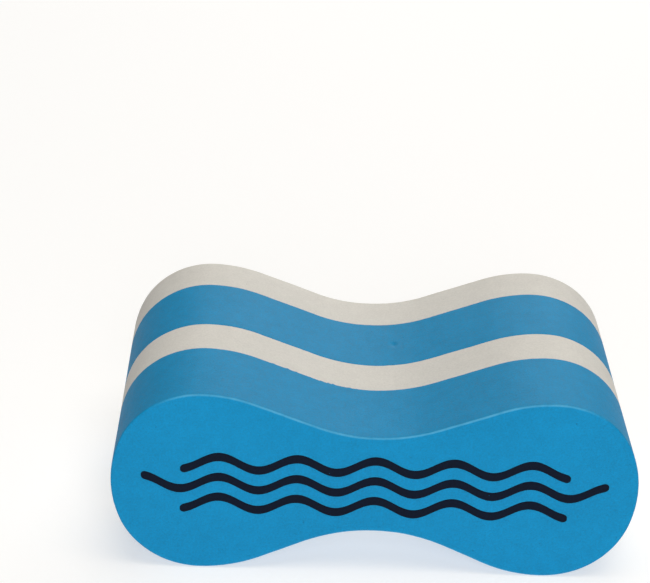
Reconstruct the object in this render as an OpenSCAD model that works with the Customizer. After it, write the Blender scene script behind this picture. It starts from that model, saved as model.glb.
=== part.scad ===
// Pull buoy: a peanut-shaped swimming float, glued up from four foam layers.
// It lies on its two lobes. X runs along its length and Y through the stack of layers,
// with the printed face towards -Y. The origin is under its middle, on the plane it lies on.

/* [Outline] */
// Length from tip to tip
length = 230; // [222:1:234]
// Height over the lobes
height = 87; // [84:1:90]
// Distance between the crests of the two lobes
crest_span = 152; // [150:1:158]
// Depth of the upper saddle, below the crests
upper_saddle = 19; // [14:0.5:21.5]
// Depth of the lower saddle, above the plane it lies on
lower_saddle = 21; // [14:0.5:21.5]
// Radius of the round tip at each end
tip_radius = 53; // [50:1:58]
// Radius from a crest down towards the saddle
shoulder_radius = 65; // [50:1:66]
// Radius of the hollow of a saddle
saddle_radius = 75; // [50:1:75]
// Angle between neighbouring points on a round stretch, in degrees
arc_step = 2.5; // [2:0.5:5]

/* [Layers] */
// Thickness of the blue layer that carries the print
printed_blue = 43; // [36:0.5:48]
// Thickness of the white layer behind it
white_core = 23.5; // [18:0.5:28]
// Thickness of the second blue layer
blue_core = 41; // [36:0.5:48]
// Thickness of the white layer at the back
white_back = 24; // [18:0.5:28]
// Thickness of the contact adhesive between two layers
bond_film = 0.2; // [0.1:0.05:0.4]
// Distance that the adhesive stays back from the cut edge at the tips and the crests
bond_margin = 1.5; // [1:0.5:4]

/* [Printed mark] */
// Number of printed wave lines, odd
wave_count = 3; // [1:2:3]
// Distance between two crests of a wave line
wave_step = 34; // [24:1:34]
// Number of steps along the middle wave line
wave_steps = 6; // [3:1:6]
// Width of each line of ink
wave_line = 4.2; // [2:0.2:5]
// Height of a wave from its middle to its crest
wave_swing = 3.2; // [1:0.2:4]
// Distance between neighbouring wave lines
wave_pitch = 10; // [8:0.5:11]
// Thickness of the ink
ink_film = 0.1; // [0.05:0.05:0.2]
// Number of straight pieces along one step of a wave
wave_facets = 16; // [8:4:24]

/* [Hidden] */

half_height = height / 2;
crest_x = crest_span / 2;

// The layers in order from the printed face, and the Y at which each one starts.
layer_depths = [printed_blue, white_core, blue_core, white_back];
foam_depth = printed_blue + white_core + blue_core + white_back;
overall_depth = ink_film + foam_depth + bond_film * 3;
printed_face = ink_film - overall_depth / 2;
function layer_start(i) = i == 0 ? printed_face : layer_start(i - 1) + layer_depths[i - 1] + bond_film;

// Points on an arc, from angle a to angle b, without the last one.
function arc_points(centre, radius, a, b) =
    let (steps = max(1, round(abs(b - a) / arc_step)))
    [for (i = [0 : steps - 1])
        let (angle = a + (b - a) * i / steps)
        centre + radius * [cos(angle), sin(angle)]];

// The tip arc and the crest arc share a tangent, and so do the crest and the shoulder.
tip_x = length / 2 - tip_radius;
crest_radius = (pow(tip_radius, 2) - pow(crest_x - tip_x, 2) - pow(half_height, 2))
    / (2 * (tip_radius - half_height));
crest_centre = [crest_x, half_height - crest_radius];
shoulder_centre = [crest_x, half_height - shoulder_radius];
tip_turn = atan2(crest_centre.y, crest_centre.x - tip_x);

// A quarter of the outline, from the tip over the crest and down to the saddle's middle.
// A straight flank joins the shoulder and the saddle, tangent to both.
function quarter(saddle_depth) =
    let (saddle_centre = [0, half_height - saddle_depth + saddle_radius],
         across = saddle_centre - shoulder_centre,
         flank_turn = atan2(across.y, across.x) - acos((shoulder_radius + saddle_radius) / norm(across)),
         shoulder_end = shoulder_centre + shoulder_radius * [cos(flank_turn), sin(flank_turn)])
    concat(arc_points([tip_x, 0], tip_radius, 0, tip_turn),
           arc_points(crest_centre, crest_radius, tip_turn, 90),
           arc_points(shoulder_centre, shoulder_radius, 90, flank_turn),
           [shoulder_end],
           arc_points(saddle_centre, saddle_radius, flank_turn - 180, -90));

function mirrored(points, sx, sy) = [for (p = points) [p.x * sx, p.y * sy]];
function reversed(points) = [for (i = [len(points) - 1 : -1 : 0]) points[i]];
function without_first(points) = [for (i = [1 : len(points) - 1]) points[i]];

// The outline from the right tip over the top to just short of the left tip.
function upper_half(saddle_depth) =
    let (arc = quarter(saddle_depth), saddle_middle = [0, half_height - saddle_depth])
    concat(arc, [saddle_middle], reversed(without_first(mirrored(arc, -1, 1))));

tip = [length / 2, 0];
outline_points = concat(
    upper_half(upper_saddle),
    [-tip],
    reversed(without_first(mirrored(upper_half(lower_saddle), 1, -1))));

module outline() {
    polygon(outline_points);
}

// Stands a flat shape up in the XZ plane and gives it depth, from Y = start towards +Y.
module upright(start, depth) {
    translate([0, start + depth, half_height])
        rotate([90, 0, 0])
            linear_extrude(depth)
                children();
}

module foam_layer(i) {
    upright(layer_start(i), layer_depths[i])
        outline();
}

module printed_blue_layer() {
    color("#1c8ccb") foam_layer(0);
}

module white_core_layer() {
    color("#e3e2dc") foam_layer(1);
}

module blue_core_layer() {
    color("#1c8ccb") foam_layer(2);
}

module white_back_layer() {
    color("#e3e2dc") foam_layer(3);
}

// The adhesive between layer i and the next, kept back from the cut edge.
module bond(i) {
    shrink = [(length - 2 * bond_margin) / length, (height - 2 * bond_margin) / height];
    color("#d9cfa8")
        upright(layer_start(i) + layer_depths[i], bond_film)
            polygon([for (p = outline_points) [p.x * shrink.x, p.y * shrink.y]]);
}

// One line of ink along a wave that has a crest or a trough in its middle.
module wave(steps) {
    facets = steps * wave_facets;
    centre_line = [for (i = [0 : facets])
        let (along = i / wave_facets - steps / 2)
        [along * wave_step, wave_swing * cos(360 * along)]];
    function edge(side) = [for (p = centre_line) p + [0, side * wave_line / 2]];
    polygon(concat(edge(-1), reversed(edge(1))));
}

// The middle line is the longest, and each line above or below it is one step shorter.
module printed_waves() {
    color("#16202f")
        upright(printed_face - ink_film, ink_film)
            for (i = [0 : wave_count - 1]) {
                row = i - (wave_count - 1) / 2;
                translate([0, row * wave_pitch])
                    wave(wave_steps - abs(row));
            }
}

printed_blue_layer();
white_core_layer();
blue_core_layer();
white_back_layer();
bond(0);  // bond_film_front
bond(1);  // bond_film_middle
bond(2);  // bond_film_back
printed_waves();
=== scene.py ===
"""A laminated foam pull buoy on a pale studio floor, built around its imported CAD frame.

Each foam layer of the frame is replaced by a detailed mesh on the same outline, with softened face
edges, the faint waves that a hot wire leaves, a ragged stretch along the first seam and a small dent.
Units are metres, except that lamps and the camera take their angles in degrees.
"""
import math
from collections import defaultdict

import bpy
import numpy as np
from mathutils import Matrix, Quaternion, Vector, noise


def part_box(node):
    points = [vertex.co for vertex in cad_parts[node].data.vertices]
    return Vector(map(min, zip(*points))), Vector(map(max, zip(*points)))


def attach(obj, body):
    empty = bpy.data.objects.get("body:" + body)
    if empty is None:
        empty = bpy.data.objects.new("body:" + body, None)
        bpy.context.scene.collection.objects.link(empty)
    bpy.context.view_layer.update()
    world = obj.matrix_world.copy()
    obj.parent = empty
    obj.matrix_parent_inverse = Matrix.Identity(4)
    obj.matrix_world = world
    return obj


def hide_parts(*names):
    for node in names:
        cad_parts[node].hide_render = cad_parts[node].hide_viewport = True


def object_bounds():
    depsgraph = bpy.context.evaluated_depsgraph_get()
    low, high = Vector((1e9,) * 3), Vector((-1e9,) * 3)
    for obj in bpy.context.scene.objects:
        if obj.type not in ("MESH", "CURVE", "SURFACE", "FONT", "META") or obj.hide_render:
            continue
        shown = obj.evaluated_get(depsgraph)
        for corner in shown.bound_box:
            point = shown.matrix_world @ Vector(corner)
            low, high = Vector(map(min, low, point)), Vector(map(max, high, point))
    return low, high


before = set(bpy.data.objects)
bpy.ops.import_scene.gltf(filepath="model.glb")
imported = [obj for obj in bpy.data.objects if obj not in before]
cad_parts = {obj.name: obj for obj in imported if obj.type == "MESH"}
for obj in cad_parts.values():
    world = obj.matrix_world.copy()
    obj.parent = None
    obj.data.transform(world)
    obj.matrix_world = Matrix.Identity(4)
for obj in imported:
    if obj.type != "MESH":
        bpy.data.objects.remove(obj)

CAD_LOW, CAD_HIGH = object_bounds()
MIDDLE = (CAD_LOW + CAD_HIGH) / 2
HALF_LENGTH = CAD_HIGH.x - MIDDLE.x
MM = 0.001

# The layers from the printed face back, each with the colour of its foam.
LAYERS = [
    ("printed_blue_layer", "blue_foam"),
    ("white_core_layer", "white_foam"),
    ("blue_core_layer", "blue_foam"),
    ("white_back_layer", "white_foam"),
]
BOND_FILMS = ["bond_film_front", "bond_film_middle", "bond_film_back"]
INK = "printed_waves"
PRINTED_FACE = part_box(LAYERS[0][0])[0].y

# Fineness of the layer meshes
LOOP_POINTS = 800         # points round the outline
ROW_HEIGHT = 0.9 * MM     # distance between two loops along a side
FACE_ROWS = 64            # faces from the bottom to the top of an end face
HIDDEN_ROWS = 8           # and of a face inside the stack
EDGE_STEPS = 6
SEAM_STEPS = 2

# Edges
FACE_EDGE = 0.9 * MM      # radius of the softened edge round an end face
SEAM_EDGE = 0.18 * MM     # radius of a layer's edge at a seam
SEAM_RIM = 0.6 * MM       # width of the rim where two layers touch outside the adhesive
RIM_STEP = 0.1 * MM
RUB_AND_HIGHLIGHT_FULL, RUB_AND_HIGHLIGHT_END = 0.70, 0.86  # where the rubbing and the painted highlight of a face edge start to fade and end, in half lengths

# Relief of the cut surfaces
OUTLINE_BLUR = 2.0 * MM   # rounds off the corners of the CAD outline
CUT_WAVE = 0.14 * MM      # slow waves left by the hand-guided wire
CUT_WAVE_SIZE = 26 * MM
CUT_WAVE_RUN = 0.35       # how fast they change through the stack, over how fast they do round it
CUT_MARK = 0.045 * MM     # fine marks that run almost straight through the stack
CUT_MARK_SIZE = 2.6 * MM
CUT_MARK_RUN = 0.06       # likewise
FACE_WAVE = 0.10 * MM     # slow hollows in an end face
FACE_WAVE_SIZE = 34 * MM

# Seams. The first one is ragged along a stretch of the upper side.
SEAM_WANDER = 0.10 * MM   # how far a seam wanders from straight
SEAM_WANDER_SIZE = 9 * MM
SEAM_REACH = 2.0 * MM     # how far into a layer the wander is felt
NICK_FROM, NICK_TO = -0.42, -0.06  # ends of the ragged stretch, in half lengths from the middle
NICK_DEPTH = 3.0 * MM
NICK_SIZE = 1.5 * MM
NICK_OCTAVES = 3
NICK_LEVEL = 0.20         # noise above this level tears a nick
NICK_FADE = 0.5           # power of the fade towards the ends

# A small dent in the upper saddle of one layer
DENTED_LAYER = "blue_core_layer"
DENT_AT = 0.087           # in half lengths from the middle
DENT_SIZE = 1.1 * MM
DENT_STRETCH = 1.8        # its length through the stack over its width
DENT_DEPTH = 0.6 * MM

# Printed ink
INK_STRIPS = 4            # faces across a line
INK_CAP_STEPS = 4         # columns across a round end
INK_ROUNDING = 2          # levels of subdivision
INK_PROUD = 0.08 * MM
INK_THICKNESS = 0.12 * MM

# Colours, as linear values
BLUE = (0.003, 0.246, 0.505)
# The paler edge colours are partly scuffing and partly a painted highlight where the rounded face edge
# catches the light
BLUE_WORN_AND_HIGHLIT = (0.10, 0.42, 0.67)
WHITE = (0.675, 0.662, 0.630)
WHITE_WORN_AND_HIGHLIT = (0.72, 0.70, 0.65)
INK_COLOUR = (0.002, 0.006, 0.018)
ADHESIVE_DARK = (0.55, 0.44, 0.22)
ADHESIVE_PALE = (0.74, 0.66, 0.44)
FLOOR_DARK = (0.48, 0.48, 0.48)
FLOOR_PALE = (0.52, 0.52, 0.52)

# Grain of the foam: cut cells, specks, blotches and clouds
CELL_SIZE = 0.45 * MM
CELL_DEPTH = 0.10 * MM
CELL_RIM, CELL_FLOOR = 0.6, 0.1  # where a cell's hollow starts and ends, from its centre, in cells
CELL_SHUT = 0.2           # share of the cells that the cut leaves shut
SPECK_SIZE = 1.0 * MM
BLOTCH_SIZE = 6 * MM
BLOTCH_DEPTH = 0.04 * MM
BLOTCH_EDGE = (0.35, 0.65)  # a firmer step between blotches, for the scuffed edge colour that also carries a painted highlight
CLOUD_SIZE = 45 * MM
NOISE_RANGE = (0.3, 0.7)  # noise seldom leaves this range

# How far each grain, and the painted shade in a cell's hollow, moves the tone, which runs from -TONE_REACH
# to TONE_REACH
TONE_REACH = 1.5
SPECK_TONE = 0.8
BLOTCH_TONE = 0.35
CLOUD_TONE = 0.3
# Painted shade: a cut cell darker in its hollow and a little paler on its rim
RIM_TONE, HOLLOW_SHADE_TONE = 0.4, -1.2
DEEP_HOLLOW = 0.8         # a hollow this deep gets the full painted shade
BLUE_SPREAD = 0.18        # share of its brightness that a colour gains or loses over that run
WHITE_SPREAD = 0.08

# Pinholes, with painted shade in their cores
PORE_SPACING = 5 * MM
PORE_SHARE = 0.07         # radius of a pinhole, in spacings
PORE_CORE = 0.4           # radius of its core, darkened with painted shade, in radii
PORE_ODDS = 0.2           # share of the places that have one
PORE_STEP = 0.02          # softness of that choice
PORE_COVER = 0.55
PORE_PAINTED_SHADE = 0.45
PORE_DEPTH = 3.0          # in depths of a cell

# Finish of the foam
# How much of the paler edge colour, scuffing and painted highlight, shows between blotches
WEAR_AND_HIGHLIGHT_COVER = (0.5, 0.9)
FOAM_ROUGHNESS = (0.62, 0.76)
FOAM_SPECULAR = 0.15
FOAM_SHEEN = 0.02
SHEEN_ROUGHNESS = 0.4

# Finish of the ink, which misses the foam in a few small gaps
INK_SHADES = (0.8, 1.35)
INK_ROUGHNESS = (0.48, 0.62)
INK_SPECULAR = 0.08
INK_GRAIN = 0.6           # depth of the foam's grain that shows through, in depths of a cell
GAP_SPACING = 2.5 * MM
GAP_CORE = 0.5
GAP_ODDS = 0.12
GAP_COVER = 0.6

# Finish of the adhesive
STREAK_SIZE = 6 * MM
STREAK_DETAIL = 4.0
STREAK_FINENESS = 0.6
STREAK_DEPTH = 0.05 * MM
ADHESIVE_ROUGHNESS = (0.25, 0.55)

# Studio floor
FLOOR_SIZE = 60
FLOOR_GAP = 0.2 * MM      # room for the relief of the lobes
FIBRE_SIZE = 1.5 * MM
FLOOR_ROUGHNESS = 0.9
FLOOR_SPECULAR = 0.1
FLOOR_GLOW = 0.55         # light that the white sweep passes from below, near the buoy
FAR_GLOW = 0.95           # and where the lamps no longer reach
LIT_REACH, DARK_REACH = 1.0, 3.0  # distances at which the glow starts and ends rising

# Studio lamps: name, azimuth, elevation, distance, size, power and colour
LAMPS = [
    ("key", 2, 27, 3.2, 1.9, 52, (1.0, 1.0, 1.0)),
    ("overhead", 35, 78, 3.2, 2.2, 63, (1.0, 0.955, 0.87)),
    ("back_fill", 172, 18, 3.2, 1.8, 58, (1.0, 0.98, 0.95)),
]

# Camera. It aims at a point on the plane of the printed face.
LENS = 112
SENSOR = 36
VIEW_AZIMUTH = -1.4
VIEW_ELEVATION = 25.8
VIEW_ROLL = 2.36
VIEW_DISTANCE = 0.838
AIM_LEFT = 25.3 * MM
AIM_ABOVE = 50.4 * MM


def smooth_noise(points, size, octaves=2):
    """Noise between about -1 and 1 at each point, with lumps of the given size."""
    return np.array([noise.fractal(Vector(p) / size, 1.0, 2.0, octaves) for p in points])


def object_from(name, points, faces):
    """A smooth-shaded mesh object from points and faces."""
    mesh = bpy.data.meshes.new(name)
    mesh.from_pydata([tuple(p) for p in points], [], faces)
    mesh.shade_smooth()
    mesh.update()
    piece = bpy.data.objects.new(name, mesh)
    bpy.context.scene.collection.objects.link(piece)
    return piece


def apply_modifiers(piece):
    """Replaces the piece's mesh by what its modifiers make of it."""
    evaluated = piece.evaluated_get(bpy.context.evaluated_depsgraph_get())
    mesh = bpy.data.meshes.new_from_object(evaluated)
    piece.modifiers.clear()
    piece.data = mesh


# ---------------------------------------------------------------- outline

def cad_outline(node):
    """The corners of a layer's outline as (x, z), counter-clockwise from the right tip."""
    corners = {(round(v.co.x, 6), round(v.co.z, 6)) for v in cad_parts[node].data.vertices}
    loop = sorted(corners, key=lambda c: math.atan2(c[1] - MIDDLE.z, c[0] - MIDDLE.x))
    start = loop.index(max(loop))
    return np.array(loop[start:] + loop[:start])


def smooth_loop(corners, count):
    """Evenly spaced points on a smooth closed curve through the corners."""
    closed = np.vstack([corners, corners[:1]])
    along = np.concatenate([[0], np.cumsum(np.linalg.norm(np.diff(closed, axis=0), axis=1))])
    steps = np.linspace(0, along[-1], count, endpoint=False)
    even = np.column_stack([np.interp(steps, along, axis) for axis in closed.T])
    waves = np.fft.fftfreq(count, along[-1] / count)
    blur = np.exp(-2 * (math.pi * OUTLINE_BLUR * waves) ** 2)
    return np.fft.ifft(np.fft.fft(even, axis=0) * blur[:, None], axis=0).real


def outward(loop):
    """The unit normal at each point of a counter-clockwise loop."""
    along = np.roll(loop, -1, axis=0) - np.roll(loop, 1, axis=0)
    across = np.column_stack([along[:, 1], -along[:, 0]])
    return across / np.linalg.norm(across, axis=1)[:, None]


OUTLINE = smooth_loop(cad_outline(LAYERS[0][0]), LOOP_POINTS)
OUTLINE_NORMAL = outward(OUTLINE)
SEAMS = [(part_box(front)[1].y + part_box(back)[0].y) / 2
         for (front, _), (back, _) in zip(LAYERS, LAYERS[1:])]


# ---------------------------------------------------------------- relief

def on_upper_side(points):
    """Whether each point lies above the middle of the buoy."""
    return points[:, 2] > MIDDLE.z


def dent(points):
    """1 in the middle of the small dent, fading to 0 around it."""
    low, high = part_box(DENTED_LAYER)
    across = (points[:, 0] - MIDDLE.x - DENT_AT * HALF_LENGTH) / DENT_SIZE
    through = (points[:, 1] - (low.y + high.y) / 2) / (DENT_SIZE * DENT_STRETCH)
    return np.where(on_upper_side(points), np.exp(-across ** 2 - through ** 2), 0)


def side_relief(points):
    """How far the cut side stands out from the outline at each point."""
    slow = smooth_noise(points * (1, CUT_WAVE_RUN, 1), CUT_WAVE_SIZE)
    marks = smooth_noise(points * (1, CUT_MARK_RUN, 1), CUT_MARK_SIZE)
    return CUT_WAVE * slow + CUT_MARK * marks - DENT_DEPTH * dent(points)


def face_relief(points, y):
    """How far an end face is pushed along Y at each (x, z)."""
    at = np.column_stack([points[:, 0], np.full(len(points), y), points[:, 1]])
    return FACE_WAVE * smooth_noise(at, FACE_WAVE_SIZE)


def nick_strength(points):
    """1 in the middle of the ragged stretch of the first seam, fading to 0 at its ends."""
    share = (points[:, 0] - MIDDLE.x) / HALF_LENGTH
    centre, reach = (NICK_FROM + NICK_TO) / 2, (NICK_TO - NICK_FROM) / 2
    fade = np.clip(1 - np.abs((share - centre) / reach), 0, 1) ** NICK_FADE
    return np.where(on_upper_side(points), fade, 0)


def seam_shift(points):
    """How far each point near a seam moves along Y. Both layers of a seam move alike."""
    shift = np.zeros(len(points))
    for i, seam in enumerate(SEAMS):
        flat = points * (1, 0, 1) + (0, seam, 0)
        wander = SEAM_WANDER * smooth_noise(flat, SEAM_WANDER_SIZE)
        if i == 0:
            nicks = np.clip(smooth_noise(flat, NICK_SIZE, NICK_OCTAVES) - NICK_LEVEL, 0, 1)
            wander = wander + NICK_DEPTH * nicks * nick_strength(points)
        shift += wander * np.exp(-np.abs(points[:, 1] - seam) / SEAM_REACH)
    return shift


# ---------------------------------------------------------------- foam layers

def edge_turn(y, inward, radius, steps):
    """(inset, y) along a quarter turn from an end face or rim round to the side."""
    angles = np.linspace(0, math.pi / 2, steps + 1)
    return [(radius * (1 - math.sin(a)), y + inward * radius * (1 - math.cos(a))) for a in angles]


def end_rings(y, inward, seam):
    """(inset, y) of the rings from the border of a cap to the side. seam is None at an end face."""
    if seam is None:
        return edge_turn(y, inward, FACE_EDGE, EDGE_STEPS)
    return [(SEAM_RIM + RIM_STEP, y), (SEAM_RIM, seam)] + edge_turn(seam, inward, SEAM_EDGE, SEAM_STEPS)


def layer_rings(index):
    """(inset, y) of every ring of a layer, from the front cap to the back cap."""
    low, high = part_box(LAYERS[index][0])
    front = end_rings(low.y, 1, SEAMS[index - 1] if index > 0 else None)
    back = end_rings(high.y, -1, SEAMS[index] if index < len(SEAMS) else None)
    rows = round((back[-1][1] - front[-1][1]) / ROW_HEIGHT)
    side = [(0, y) for y in np.linspace(front[-1][1], back[-1][1], rows + 1)[1:-1]]
    return front + side + back[::-1]


def ring_points(rings):
    """The points of every ring round the outline, with the relief of the cut side and the seams."""
    insets = np.repeat([inset for inset, _ in rings], LOOP_POINTS)
    depths = np.repeat([y for _, y in rings], LOOP_POINTS)
    loop = np.tile(OUTLINE, (len(rings), 1))
    normal = np.tile(OUTLINE_NORMAL, (len(rings), 1))
    relief = side_relief(np.column_stack([loop[:, 0], depths, loop[:, 1]]))
    flat = loop + normal * (relief - insets)[:, None]
    points = np.column_stack([flat[:, 0], depths, flat[:, 1]])
    points[:, 1] += seam_shift(points)
    return points


def band_faces(starts):
    """The faces between each ring and the next one, where starts are the rings' first points."""
    faces = []
    for front, back in zip(starts, starts[1:]):
        for k in range(LOOP_POINTS):
            after = (k + 1) % LOOP_POINTS
            faces.append((front + k, back + k, back + after, front + after))
    return faces


def cap(points, ring, rows, towards_front):
    """Fills a ring with a grid of rows between its top and bottom. Returns new points and faces."""
    count = len(ring)
    half = count // 2
    columns, made = [[ring[0]]], []
    for i in range(1, half):
        top, bottom = ring[i], ring[count - i]
        first = len(points) + len(made)
        made += [points[bottom] + (points[top] - points[bottom]) * j / rows for j in range(1, rows)]
        columns.append([bottom, *range(first, first + rows - 1), top])
    columns.append([ring[half]])
    faces = []
    for right, left in zip(columns, columns[1:]):
        for j in range(rows):
            if len(right) == 1:
                face = (left[j], right[0], left[j + 1])
            elif len(left) == 1:
                face = (left[0], right[j], right[j + 1])
            else:
                face = (left[j], right[j], right[j + 1], left[j + 1])
            faces.append(face if towards_front else face[::-1])
    return made, faces


def edge_wear_and_highlight(inset, y, open_ends):
    """1 half way round the softened edge of an end face, and 0 on the face and on the side: scuffing and a
    painted highlight.
    """
    if not any(abs(y - end) < 2 * FACE_EDGE for end in open_ends):
        return 0
    turned = math.asin(max(0, 1 - inset / FACE_EDGE))
    return math.sin(2 * turned)


def rubbed_and_highlit(loop):
    """1 along the waist and the crests, where thighs rub the edge and the highlight is painted, fading to 0
    at the tips.
    """
    share = np.abs(loop[:, 0] - MIDDLE.x) / HALF_LENGTH
    return np.clip((RUB_AND_HIGHLIGHT_END - share) / (RUB_AND_HIGHLIGHT_END - RUB_AND_HIGHLIGHT_FULL), 0, 1)


def foam_layer(index):
    """The mesh of one foam layer, with the attribute "edge" where its face edge is scuffed and carries a
    painted highlight.
    """
    name = LAYERS[index][0]
    low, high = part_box(name)
    open_ends = [low.y] * (index == 0) + [high.y] * (index == len(LAYERS) - 1)
    rings = layer_rings(index)
    starts = range(0, len(rings) * LOOP_POINTS, LOOP_POINTS)
    points = ring_points(rings)
    faces = band_faces(starts)
    for y, start, towards_front in ((low.y, starts[0], True), (high.y, starts[-1], False)):
        rows = FACE_ROWS if y in open_ends else HIDDEN_ROWS
        made, cap_faces = cap(points, range(start, start + LOOP_POINTS), rows, towards_front)
        points = np.vstack([points, made])
        faces += cap_faces
    for end in open_ends:
        near = np.clip(1 - np.abs(points[:, 1] - end) / FACE_EDGE, 0, 1)
        points[:, 1] += face_relief(points[:, (0, 2)], end) * near

    # scuffing and a painted highlight along the rounded face edges
    wear_and_highlight = np.outer([edge_wear_and_highlight(inset, y, open_ends) for inset, y in rings], rubbed_and_highlit(OUTLINE)).ravel()
    piece = object_from(f"foam_{name}", points, faces)
    attribute = piece.data.attributes.new("edge", "FLOAT", "POINT")
    attribute.data.foreach_set("value", np.concatenate([wear_and_highlight, np.zeros(len(points) - len(wear_and_highlight))]))
    return piece


# ---------------------------------------------------------------- printed waves

def wave_lines():
    """The printed waves of the frame: for each line, its (x, lower z, upper z) from left to right."""
    heights = defaultdict(set)
    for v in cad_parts[INK].data.vertices:
        heights[round(v.co.x, 5)].add(round(v.co.z, 6))
    lines = defaultdict(list)
    for x in sorted(heights):
        z = sorted(heights[x])
        count = len(z) // 2
        for i in range(count):
            lines[i - (count - 1) / 2].append((x, z[2 * i], z[2 * i + 1]))
    return lines


def round_ended(line):
    """The columns (x, middle z, half width) of a wave line whose two ends are half round."""
    x, lower, upper = np.array(line).T
    radius = (upper[0] - lower[0]) / 2
    turn = np.linspace(0, math.pi / 2, INK_CAP_STEPS + 1)[1:]
    cap_x = radius * (1 - np.cos(turn))
    straight = x[(x > x[0] + radius) & (x < x[-1] - radius)]
    columns = np.concatenate([x[0] + cap_x, straight, x[-1] - cap_x[::-1]])
    short = np.clip(1 - np.minimum(columns - x[0], x[-1] - columns) / radius, 0, 1)
    return zip(columns, np.interp(columns, x, (lower + upper) / 2), radius * np.sqrt(1 - short ** 2))


def ink_strips():
    """The flat ink as points and faces: every wave line in strips, on the plane of the printed face."""
    points, faces = [], []
    for line in wave_lines().values():
        for i, (x, middle, half) in enumerate(round_ended(line)):
            first = len(points)
            points += [(x, PRINTED_FACE, middle + half * height)
                       for height in np.linspace(-1, 1, INK_STRIPS + 1)]
            if i:
                before = first - INK_STRIPS - 1
                faces += [(before + j, first + j, first + j + 1, before + j + 1) for j in range(INK_STRIPS)]
    return points, faces


def ink_on_face():
    """The ink as one thin sheet that follows the relief of the printed face."""
    piece = object_from("ink_waves", *ink_strips())
    rounding = piece.modifiers.new("rounding", "SUBSURF")
    rounding.levels = rounding.render_levels = INK_ROUNDING
    apply_modifiers(piece)
    places = np.array([(v.co.x, v.co.z) for v in piece.data.vertices])
    for v, relief in zip(piece.data.vertices, face_relief(places, PRINTED_FACE)):
        v.co.y = PRINTED_FACE + relief - INK_PROUD
    body = piece.modifiers.new("thickness", "SOLIDIFY")
    body.thickness = INK_THICKNESS
    body.offset = -1
    apply_modifiers(piece)
    piece.data.shade_smooth()
    return piece


# ---------------------------------------------------------------- materials

class Nodes:
    """Adds nodes to a material and links them."""

    def __init__(self, name):
        self.material = bpy.data.materials.new(name)
        self.material.use_nodes = True
        self.tree = self.material.node_tree
        self.shader = self.tree.nodes["Principled BSDF"]
        self.place = self.add("ShaderNodeTexCoord").outputs["Object"]

    def add(self, kind, inputs=None, **settings):
        """A node of a kind, with its settings, and its inputs set to values or linked to sockets."""
        node = self.tree.nodes.new(kind)
        for key, value in settings.items():
            setattr(node, key, value)
        for socket, value in (inputs or {}).items():
            self.put(node.inputs[socket], value)
        return node

    def put(self, socket, value):
        """Sets an input socket to a value, or links it to an output socket."""
        if isinstance(value, bpy.types.NodeSocket):
            self.tree.links.new(value, socket)
        else:
            socket.default_value = value

    def noise(self, size, detail=2.0, roughness=0.5):
        """Soft noise around 0.5, with lumps of a size in metres."""
        settings = {"Vector": self.place, "Scale": 1 / size, "Detail": detail, "Roughness": roughness}
        return self.add("ShaderNodeTexNoise", settings).outputs["Fac"]

    def cells(self, size):
        """A field of cells of a size in metres: the distance from a cell's centre, and its random number."""
        cells = self.add("ShaderNodeTexVoronoi", {"Vector": self.place, "Scale": 1 / size})
        draw = self.add("ShaderNodeSeparateColor", {0: cells.outputs["Color"]})
        return cells.outputs["Distance"], draw.outputs[0]

    def ramp(self, value, low, high, to_low=0.0, to_high=1.0):
        """Maps a value from low..high to to_low..to_high, clamped."""
        settings = {"Value": value, "From Min": low, "From Max": high, "To Min": to_low, "To Max": to_high}
        return self.add("ShaderNodeMapRange", settings).outputs["Result"]

    def spread(self, value, to_low=0.0, to_high=1.0):
        """Maps the usual range of noise to to_low..to_high, clamped."""
        return self.ramp(value, *NOISE_RANGE, to_low, to_high)

    def maths(self, operation, a, b):
        return self.add("ShaderNodeMath", {0: a, 1: b}, operation=operation).outputs["Value"]

    def mix(self, amount, a, b):
        """Colour a, turning into colour b by an amount."""
        node = self.add("ShaderNodeMix", data_type="RGBA")
        for socket, value in ((0, amount), (6, a), (7, b)):
            self.put(node.inputs[socket], value)
        return node.outputs[2]

    def bump(self, height, distance, under=None):
        """A bump of a height field over the normal given by another bump."""
        inputs = {"Height": height, "Distance": distance, "Strength": 1.0}
        if under is not None:
            inputs["Normal"] = under
        return self.add("ShaderNodeBump", inputs).outputs["Normal"]

    def spots(self, spacing, core, odds):
        """Small round spots, 1 in their cores, in a share of the places of a field of cells."""
        distance, draw = self.cells(spacing)
        spot = self.ramp(distance, PORE_SHARE, PORE_SHARE * core)
        return self.maths("MULTIPLY", spot, self.ramp(draw, 1 - odds, 1 - odds + PORE_STEP))

    def set(self, **inputs):
        """Sets the shader's inputs. An underscore in a name stands for a space."""
        for name, value in inputs.items():
            self.put(self.shader.inputs[name.replace("_", " ")], value)


def shade(colour, factor=1.0):
    """A colour made darker or brighter, with full alpha."""
    return (*[min(1, c * factor) for c in colour], 1)


def foam_tone(n, hollow, speck, blotch):
    """The tone of the foam from its grains and the painted shade in its cells' hollows, between -TONE_REACH
    and TONE_REACH.
    """
    cloud = n.noise(CLOUD_SIZE, detail=1.0)
    tone = n.spread(speck, -SPECK_TONE, SPECK_TONE)
    tone = n.maths("ADD", tone, n.spread(blotch, -BLOTCH_TONE, BLOTCH_TONE))
    tone = n.maths("ADD", tone, n.spread(cloud, -CLOUD_TONE, CLOUD_TONE))
    # painted shade in each cell's hollow, paler at its rim
    return n.maths("ADD", tone, n.ramp(hollow, 0.0, DEEP_HOLLOW, RIM_TONE, HOLLOW_SHADE_TONE))


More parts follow.
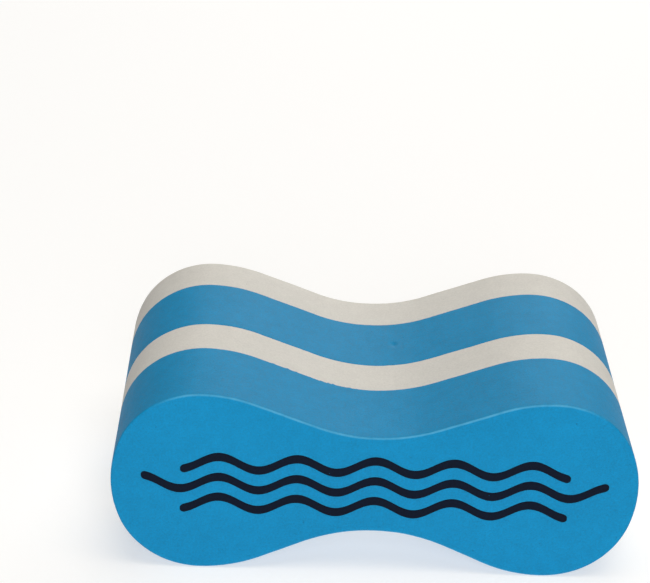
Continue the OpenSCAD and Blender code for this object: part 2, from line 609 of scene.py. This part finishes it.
def foam_material(name, colour, worn_and_highlit_colour, colour_spread):
    """Closed-cell foam: cells cut open to random depths with painted shade in their hollows, mottling,
    pinholes with painted shade inside, and paler scuffed edges that also carry a painted highlight.
    """
    n = Nodes(name)
    distance, draw = n.cells(CELL_SIZE)
    hollow = n.maths("MULTIPLY", n.ramp(distance, CELL_RIM, CELL_FLOOR), n.ramp(draw, CELL_SHUT, 1.0))
    speck = n.noise(SPECK_SIZE)
    blotch = n.noise(BLOTCH_SIZE, detail=3.0)
    pit = n.spots(PORE_SPACING, PORE_CORE, PORE_ODDS)

    tone = n.ramp(foam_tone(n, hollow, speck, blotch), -TONE_REACH, TONE_REACH)
    base = n.mix(tone, shade(colour, 1 - colour_spread), shade(colour, 1 + colour_spread))
    # painted shade inside each pinhole
    base = n.mix(n.maths("MULTIPLY", pit, PORE_COVER), base, shade(colour, PORE_PAINTED_SHADE))
    edge = n.add("ShaderNodeAttribute", attribute_name="edge").outputs["Fac"]
    # the paler edge colour: scuffing and a painted highlight
    worn_and_highlit = n.maths("MULTIPLY", edge, n.ramp(blotch, *BLOTCH_EDGE, *WEAR_AND_HIGHLIGHT_COVER))
    n.set(Base_Color=n.mix(worn_and_highlit, base, shade(worn_and_highlit_colour)))

    depth = n.maths("ADD", hollow, n.maths("MULTIPLY", pit, PORE_DEPTH))
    n.set(Normal=n.bump(n.maths("MULTIPLY", depth, -1.0), CELL_DEPTH, n.bump(blotch, BLOTCH_DEPTH)))
    n.set(Roughness=n.spread(speck, *FOAM_ROUGHNESS), Specular_IOR_Level=FOAM_SPECULAR)
    n.set(Sheen_Weight=FOAM_SHEEN, Sheen_Roughness=SHEEN_ROUGHNESS)
    return n.material


def ink_material():
    """Matt screen-printed ink that sinks into the foam's cells and misses a few of them."""
    n = Nodes("navy_ink")
    grain, _ = n.cells(CELL_SIZE)
    speck = n.noise(SPECK_SIZE)
    gap = n.spots(GAP_SPACING, GAP_CORE, GAP_ODDS)
    low, high = INK_SHADES
    inked = n.mix(n.spread(speck), shade(INK_COLOUR, low), shade(INK_COLOUR, high))
    n.set(Base_Color=n.mix(n.maths("MULTIPLY", gap, GAP_COVER), inked, shade(BLUE)))
    n.set(Roughness=n.spread(speck, *INK_ROUGHNESS), Specular_IOR_Level=INK_SPECULAR)
    n.set(Normal=n.bump(grain, CELL_DEPTH * INK_GRAIN))
    return n.material


def adhesive_material():
    """Dried contact adhesive: amber, brushed on, with glossier and duller streaks."""
    n = Nodes("contact_adhesive")
    streak = n.noise(STREAK_SIZE, STREAK_DETAIL, STREAK_FINENESS)
    n.set(Base_Color=n.mix(n.spread(streak), shade(ADHESIVE_DARK), shade(ADHESIVE_PALE)))
    n.set(Roughness=n.spread(streak, *ADHESIVE_ROUGHNESS), Normal=n.bump(streak, STREAK_DEPTH))
    return n.material


def floor_material():
    """Matt pale studio paper that glows, more where the lamps no longer reach."""
    n = Nodes("studio_paper")
    fibre = n.noise(FIBRE_SIZE, detail=3.0)
    distance = n.add("ShaderNodeVectorMath", {0: n.place}, operation="LENGTH").outputs["Value"]
    n.set(Base_Color=n.mix(n.spread(fibre), shade(FLOOR_DARK), shade(FLOOR_PALE)))
    n.set(Roughness=FLOOR_ROUGHNESS, Specular_IOR_Level=FLOOR_SPECULAR, Emission_Color=(1, 1, 1, 1))
    n.set(Emission_Strength=n.ramp(distance, LIT_REACH, DARK_REACH, FLOOR_GLOW, FAR_GLOW))
    return n.material


# ---------------------------------------------------------------- studio

def aim(thing, target, roll=0.0):
    """Turns a light or camera to face a point, with Z up and then a roll in degrees."""
    turn = (target - thing.location).to_track_quat("-Z", "Y")
    thing.rotation_mode = "QUATERNION"
    thing.rotation_quaternion = turn @ Quaternion((0, 0, 1), math.radians(roll))


def from_angles(azimuth, elevation):
    """The direction towards a viewer. Azimuth 0 stands at -Y and 90 at +X, both in degrees."""
    a, e = math.radians(azimuth), math.radians(elevation)
    return Vector((math.sin(a) * math.cos(e), -math.cos(a) * math.cos(e), math.sin(e)))


def soft_light(name, azimuth, elevation, distance, size, power, colour):
    """A square soft box aimed at the buoy's middle."""
    light = bpy.data.lights.new(name, "AREA")
    light.shape = "SQUARE"
    light.size = size
    light.energy = power
    light.color = colour
    lamp = bpy.data.objects.new(name, light)
    lamp.location = MIDDLE + from_angles(azimuth, elevation) * distance
    aim(lamp, MIDDLE)
    bpy.context.scene.collection.objects.link(lamp)


def studio_floor():
    """A square of paper just under the lobes."""
    half = FLOOR_SIZE / 2
    corners = [(-half, -half, 0), (half, -half, 0), (half, half, 0), (-half, half, 0)]
    floor = object_from("studio_floor", corners, [(0, 1, 2, 3)])
    floor.location.z = CAD_LOW.z - FLOOR_GAP
    floor.data.materials.append(floor_material())


def studio_backdrop():
    """A world as pale as the far floor, which lights nothing."""
    world = bpy.data.worlds.new("backdrop")
    world.use_nodes = True
    background = world.node_tree.nodes["Background"]
    background.inputs["Color"].default_value = (1, 1, 1, 1)
    background.inputs["Strength"].default_value = FAR_GLOW
    world.cycles_visibility.diffuse = False
    world.cycles_visibility.glossy = False
    bpy.context.scene.world = world


def studio_camera():
    """Looks past the buoy's top left, so that the buoy lies to the lower right of the picture."""
    camera = bpy.data.objects.new("camera", bpy.data.cameras.new("camera"))
    camera.data.sensor_width = SENSOR
    camera.data.lens = LENS
    target = Vector((MIDDLE.x - AIM_LEFT, PRINTED_FACE, CAD_HIGH.z + AIM_ABOVE))
    camera.location = target + from_angles(VIEW_AZIMUTH, VIEW_ELEVATION) * VIEW_DISTANCE
    aim(camera, target, VIEW_ROLL)
    bpy.context.scene.collection.objects.link(camera)
    bpy.context.scene.camera = camera


# ---------------------------------------------------------------- build

studio_floor()
studio_backdrop()
studio_camera()
for lamp in LAMPS:
    soft_light(*lamp)
bpy.context.scene.view_settings.view_transform = "Standard"

materials = {
    "blue_foam": foam_material("blue_foam", BLUE, BLUE_WORN_AND_HIGHLIT, BLUE_SPREAD),
    "white_foam": foam_material("white_foam", WHITE, WHITE_WORN_AND_HIGHLIT, WHITE_SPREAD),
}
for index, (node, slot) in enumerate(LAYERS):
    layer = foam_layer(index)
    layer.data.materials.append(materials[slot])
    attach(layer, "root")
    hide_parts(node)

ink = ink_on_face()
ink.data.materials.append(ink_material())
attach(ink, "root")
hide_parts(INK)

adhesive = adhesive_material()
for film in BOND_FILMS:
    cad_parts[film].material_slots[0].material = adhesive
